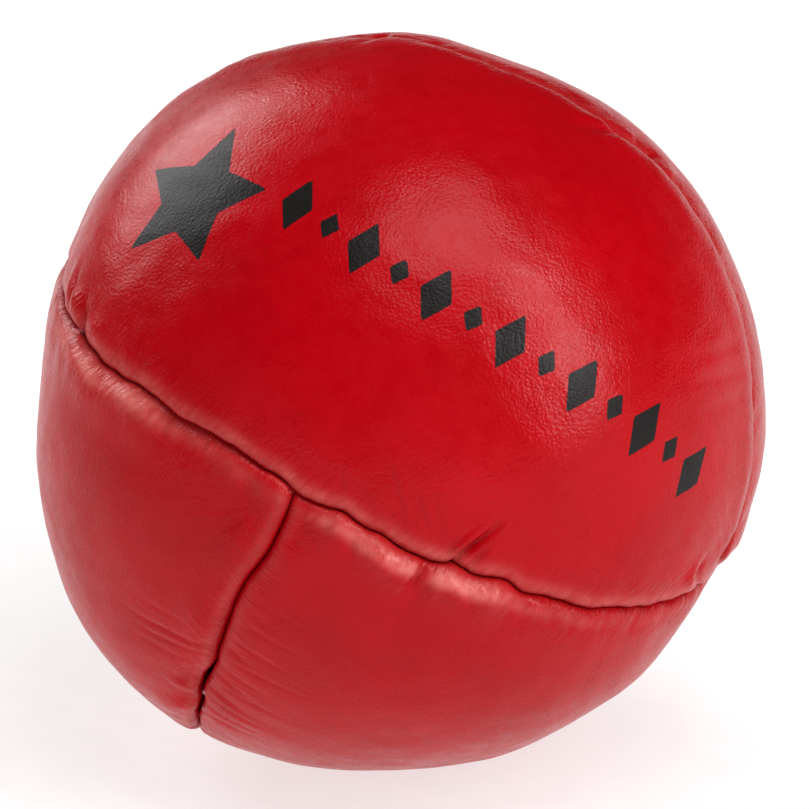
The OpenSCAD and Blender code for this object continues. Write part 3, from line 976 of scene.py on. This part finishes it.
def leather_finish():
    """Smooth-grain cowhide, drum dyed and finished with a thin pigmented coat: a saturated red with a
    soft satin sheen. The hair-cell grain is a net of pebbles about 0.3 mm across, and shows mostly in
    the highlights. The print is a matt black ink on the grain."""
    f = Finish("smooth_grain_leather_red")
    blend, texture = dict(data_type="RGBA"), dict(vector_type="TEXTURE")
    times, times_plus = dict(operation="MULTIPLY"), dict(operation="MULTIPLY_ADD")
    where = f.add("TexCoord").outputs["Object"]
    flat = f.add("UVMap", dict(uv_map="millimetres")).outputs["UV"]
    ink = f.add("Attribute", dict(attribute_name="ink")).outputs["Fac"]
    seam = f.add("Attribute", dict(attribute_name="seam")).outputs["Fac"]
    # Drum dye takes unevenly over some 8 mm, and a little more finely over 1.5 mm
    broad = f.add("TexNoise", Vector=where, Scale=1000 / 8, Detail=3.0).outputs["Fac"]
    fine = f.add("TexNoise", Vector=where, Scale=1000 / 1.5, Detail=4.0).outputs["Fac"]
    shade = f.add("MapRange", Value=broad, **mapped(0.3, 0.7, 0.0, 1.0)).outputs["Result"]
    leather_tone = f.add("Mix", blend, _0=shade, _6=linear("#ae000e"), _7=linear("#b80014")).outputs[2]
    speck = f.add("MapRange", Value=fine, **mapped(0.35, 0.75, 0.0, 0.22)).outputs["Result"]
    leather_tone = f.add("Mix", blend, _0=speck, _6=leather_tone, _7=linear("#c2061a")).outputs[2]
    # Painted highlight on the crests of the lips, partly a stretched and rubbed finish: the colour is mixed
    # towards pale pink there
    rub_and_highlight = f.add("Attribute", dict(attribute_name="rub_and_highlight")).outputs["Fac"]
    leather_tone = f.add("Mix", blend, _0=rub_and_highlight, _6=leather_tone, _7=linear("#d87872")).outputs[2]
    # Hair-cell grain: pebbles 0.3 mm across, bent out of a regular net, and pores of 0.2 mm
    warp = f.add("TexNoise", Vector=where, Scale=1000 / 1.2, Detail=2.0).outputs["Color"]
    bent = f.add("VectorMath", dict(operation="SCALE"), _0=warp, Scale=0.00022).outputs[0]
    bent = f.add("VectorMath", _0=where, _1=bent).outputs[0]
    pebbles = f.add(
        "TexVoronoi", dict(feature="SMOOTH_F1"), Vector=bent, Scale=1000 / 0.29, Smoothness=0.6
    ).outputs["Distance"]
    pore = f.add("TexNoise", Vector=where, Scale=1000 / 0.2, Detail=2.0).outputs["Fac"]
    # Creases that run with the pull of the skin, about 0.6 mm apart and some 5 mm long
    pull = f.add("Mapping", texture, Vector=flat, Rotation=(0, 0, 0.9), Scale=(5.0, 0.6, 1.0)).outputs[0]
    streak = f.add("TexNoise", Vector=pull, Scale=1.0, Detail=3.0, Distortion=0.6).outputs["Fac"]
    grain = f.add("Math", times, _0=pebbles, _1=-0.55).outputs[0]
    grain = f.add("Math", times_plus, _0=pore, _1=0.35, _2=grain).outputs[0]
    grain = f.add("Math", times_plus, _0=streak, _1=0.3, _2=grain).outputs[0]
    # Hair-fine creases across the lips, 0.36 mm apart, where the thread draws the leather together
    drawn = f.add("Mapping", texture, Vector=flat, Rotation=(0, 0, 0.35), Scale=(0.36, 2.2, 1.0)).outputs[0]
    hair = f.add("TexNoise", Vector=drawn, Scale=1.0, Detail=2.0, Distortion=0.8).outputs["Fac"]
    close = f.add("MapRange", Value=seam, **mapped(0.4, 4.8, 3.4, 0.0)).outputs["Result"]
    hair = f.add("Math", times, _0=hair, _1=close).outputs[0]
    grain = f.add("Math", _0=hair, _1=grain).outputs[0]
    # Ink: matt black, a little broken where it bridges the pebbles
    edge = f.add("Math", times_plus, _0=pore, _1=0.16, _2=ink).outputs[0]
    inked = f.add("MapRange", Value=edge, **mapped(0.05, 0.12, 0.0, 1.0)).outputs["Result"]
    colour = f.add("Mix", blend, _0=inked, _6=leather_tone, _7=linear("#211c1c")).outputs[2]
    # Painted shade in the seams: the colour is darkened to 0.9 at a seam, and back to full 1.2 mm away from
    # it
    seam_shade = f.add("MapRange", Value=seam, **mapped(0.0, 1.2, 0.9, 1.0)).outputs["Result"]
    colour = f.add(
        "Mix", dict(data_type="RGBA", blend_type="MULTIPLY"), _0=1.0, _6=colour,
        _7=f.add("CombineColor", Red=seam_shade, Green=seam_shade, Blue=seam_shade).outputs[0],
    ).outputs[2]
    satin = f.add("MapRange", Value=fine, **mapped(0.3, 0.7, 0.24, 0.33)).outputs["Result"]
    rough = f.add("Mix", dict(data_type="FLOAT"), _0=inked, _2=satin, _3=0.38).outputs[0]
    normal = f.add("Bump", Height=grain, Distance=0.00009, Strength=0.5).outputs["Normal"]
    shader = f.add(
        "BsdfPrincipled", Base_Color=colour, Roughness=rough, Normal=normal, IOR=1.5, Specular_IOR_Level=0.25,
    )
    f.add("OutputMaterial", Surface=shader.outputs[0])
    return f.material


def thread_finish(name, colour, pale):
    """Bonded polyester sewing thread, three plies twisted and dyed: a soft fibrous sheen along the plies, and
    painted
    shade and highlight from the fibre bump: the tone is darker where the bump is low and paler where it is
    high."""
    f = Finish(name)
    where = f.add("TexCoord").outputs["Object"]
    fibres = f.add("TexNoise", Vector=where, Scale=1000 / 0.25, Detail=4.0).outputs["Fac"]
    # Painted shade and highlight: the noise that raises the fibre bump also mixes the dark and pale colours
    tone = f.add("Mix", dict(data_type="RGBA"), _0=fibres, _6=linear(colour), _7=linear(pale)).outputs[2]
    normal = f.add("Bump", Height=fibres, Distance=0.00005, Strength=0.6).outputs["Normal"]
    shader = f.add(
        "BsdfPrincipled", Base_Color=tone, Roughness=0.7, Normal=normal, IOR=1.57, Sheen_Weight=0.4
    )
    f.add("OutputMaterial", Surface=shader.outputs[0])
    return f.material


def millet_finish():
    """Hulled millet: straw-coloured grains with a waxy skin, each a slightly different shade."""
    f = Finish("millet_grains")
    where = f.add("TexCoord").outputs["Object"]
    patch = f.add("TexNoise", Vector=where, Scale=1000 / 2.5, Detail=2.0).outputs["Fac"]
    straw, pale = linear("#c79a45"), linear("#ecd08a")
    tone = f.add("Mix", dict(data_type="RGBA"), _0=patch, _6=straw, _7=pale).outputs[2]
    normal = f.add("Bump", Height=patch, Distance=0.0002, Strength=0.3).outputs["Normal"]
    shader = f.add("BsdfPrincipled", Base_Color=tone, Roughness=0.45, Normal=normal)
    f.add("OutputMaterial", Surface=shader.outputs[0])
    return f.material


# ---- the pieces ----


def declare(piece, material, slot, *nodes):
    """Gives a piece its material and its body, and hides the CAD nodes that it stands for. The slot is not
    used.
    """
    piece.data.materials.append(material)
    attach(piece, "root")
    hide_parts(*nodes)
    return piece


leather = leather_finish()
for number, name in enumerate(PANELS):
    piece = declare(panel(name, 40 + 100 * number), leather, "panel_leather", name)

sewing = thread_finish("bonded_polyester_thread", "#a8343f", "#d0707a")
mending = thread_finish("waxed_closing_thread", "#b0606a", "#e2a0a6")

for half, name, rise in (("upper", "upper_front_panel", None), ("lower", "lower_right_panel", bridging)):
    for kind, side in (("needle", 1), ("bobbin", -1)):
        path, across = split_to_seam(*lock_path(1.5 * PITCH, 180 - 1.5 * PITCH, side, rise), name)
        node = f"{half}_seam_{kind}_thread"
        declare(twisted(node + "_twist", path, across, THREAD_D / 2), sewing, "seam_thread", node)
for kind, side in (("needle", 1), ("bobbin", -1)):
    path, across = lock_path(-1.5 * PITCH, 360 - 13.5 * PITCH, side)
    node = f"girth_seam_{kind}_thread"
    declare(twisted(node + "_twist", path, across, THREAD_D / 2), sewing, "seam_thread", node)
path, across = ladder_path(-12.6 * PITCH, -2.4 * PITCH, STITCH_R, LEATHER_T + THREAD_D / 2)
closing = twisted("closing_stitch_twist", path, across, THREAD_D / 2)
declare(closing, mending, "closing_thread", "closing_stitch_thread")

# The thread end is worn thin, and stands for no CAD node
end = twisted("girth_thread_tail", *tail_path(), THREAD_D / 2 * 0.6)
end.data.materials.append(sewing)
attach(end, "root")
declare(millet(), millet_finish(), "millet", "millet_filling")

# ---- floor, light and camera ----


FLOOR_HALF = 2
FLOOR_DROP = 2e-5


def set_stage():
    """A wide pale floor that the ball rests on, a hair below it."""
    corners = np.array([(-1, -1, 0), (1, -1, 0), (1, 1, 0), (-1, 1, 0)]) * FLOOR_HALF
    floor = new_mesh("studio_floor", corners - (0, 0, FLOOR_DROP), np.array([(0, 1, 2, 3)]))
    f = Finish("studio_floor_white")
    grain = f.add("TexNoise", Vector=f.add("TexCoord").outputs["Object"], Scale=300.0).outputs["Fac"]
    tone = f.add("MapRange", Value=grain, **mapped(0.3, 0.7, 0.32, 0.36)).outputs["Result"]
    tone = f.add("CombineColor", Red=tone, Green=tone, Blue=tone).outputs[0]
    shader = f.add(
        "BsdfPrincipled", Base_Color=tone, Roughness=0.8, Emission_Color=(1, 1, 1, 1), Emission_Strength=0.66,
    )
    f.add("OutputMaterial", Surface=shader.outputs[0])
    floor.data.materials.append(f.material)


BALL_CENTRE = Vector((0, 0, CENTRE_H * MM))


LAMP_FAR = 1.5


def softbox(name, direction, wide, tall, watts, seen=True):
    """A rectangular soft light that faces the ball from the given direction. One that isn't seen lights
    the leather but leaves no reflection on it, as a fill bounced off a far wall."""
    light = bpy.data.lights.new(name, "AREA")
    light.shape, light.size, light.size_y, light.energy = "RECTANGLE", wide, tall, watts
    lamp = bpy.data.objects.new(name, light)
    lamp.location = BALL_CENTRE + Vector(direction).normalized() * LAMP_FAR
    lamp.rotation_euler = (BALL_CENTRE - lamp.location).to_track_quat("-Z", "Y").to_euler()
    lamp.visible_glossy = seen
    bpy.context.scene.collection.objects.link(lamp)


set_stage()
scene = bpy.context.scene
world = bpy.data.worlds.new("studio")
world.use_nodes = True
world.node_tree.nodes["Background"].inputs["Color"].default_value = (1, 1, 1, 1)
world.node_tree.nodes["Background"].inputs["Strength"].default_value = 0.045
scene.world = world
softbox("strip_softbox", (0.76, -0.40, 0.50), 0.32, 1.2, 13.5)
softbox("top_softbox", (0.22, -0.24, 0.94), 0.9, 0.9, 11)
softbox("back_left_softbox", (-0.6, 0.65, 0.48), 1.1, 0.8, 13)
softbox("left_fill", (-0.72, -0.66, 0.2), 1.2, 1.0, 6.5, seen=False)
softbox("front_fill", (0.15, -0.96, 0.2), 1.2, 0.8, 2.5, seen=False)

# The camera stands a metre from the ball, and takes in 71.1 mm there
SENSOR_W = 36
FRAME_W = 71.1
CAMERA_SIDE = 0.97 * MM
camera_data = bpy.data.cameras.new("camera")
camera_data.sensor_width = SENSOR_W
camera_data.lens = SENSOR_W / FRAME_W * 1000
camera_data.clip_end = 10
camera = bpy.data.objects.new("camera", camera_data)
scene.collection.objects.link(camera)
sight = Vector(FRONT)
camera.location = BALL_CENTRE + sight + Vector((CAMERA_SIDE, 0, 0))
camera.rotation_euler = (-sight).to_track_quat("-Z", "Y").to_euler()
scene.camera = camera
scene.view_settings.view_transform = "Standard"
scene.view_settings.gamma = 0.86
scene.view_settings.exposure = 0.1
